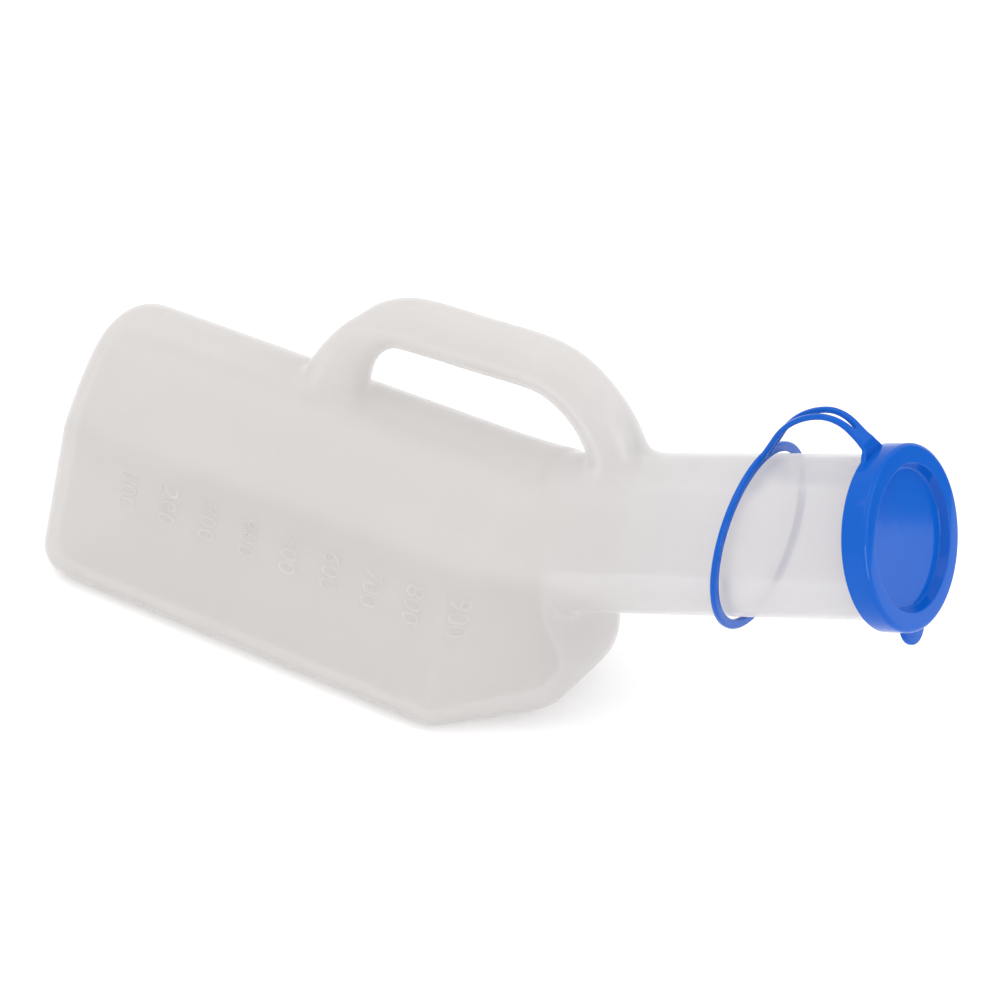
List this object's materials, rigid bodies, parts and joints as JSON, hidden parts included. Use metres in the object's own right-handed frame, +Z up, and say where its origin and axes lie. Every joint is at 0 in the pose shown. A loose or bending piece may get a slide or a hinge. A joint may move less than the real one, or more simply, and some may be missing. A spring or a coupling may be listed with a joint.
{
  "type": "urine bottle",
  "caption": "Hollow urine bottle with a flat resting side, angled neck, loop handle and a tethered snap cap that swings open and turns on the neck.",
  "frame": {"origin": "middle of the flat side that the bottle lies on, on the plane of symmetry", "axes": "+X along the body towards the mouth, +Z up on the handle's side, +Y across"},
  "size_m": [0.321, 0.0998, 0.149],
  "materials": {
    "milky_polyethylene": "satin",
    "blue_polyethylene": "glossy"
  },
  "bodies": {
    "bottle": {"bottle_shell": "milky_polyethylene"},
    "strap": {"strap_strands": "blue_polyethylene", "strap_root": "blue_polyethylene"},
    "ring": {"neck_ring": "blue_polyethylene"},
    "cap": {"lid_cap": "blue_polyethylene", "pull_tab": "blue_polyethylene"}
  },
  "joints": [
    {"name": "lid_turn", "type": "hinge", "parent": "bottle", "child": "strap", "pos_m": [0.1028, 0, 0.0657], "axis": [0.9345, 0, 0.3559], "continuous": true},
    {"name": "ring_slide", "type": "slide", "parent": "strap", "child": "ring", "axis": [0.9345, 0, 0.3559], "range_m": [-0.012, 0]},
    {"name": "cap_hinge", "type": "hinge", "parent": "strap", "child": "cap", "pos_m": [0.20944, 0, 0.14195], "axis": [0, -1, 0], "range_deg": [0, 115]}
  ]
}
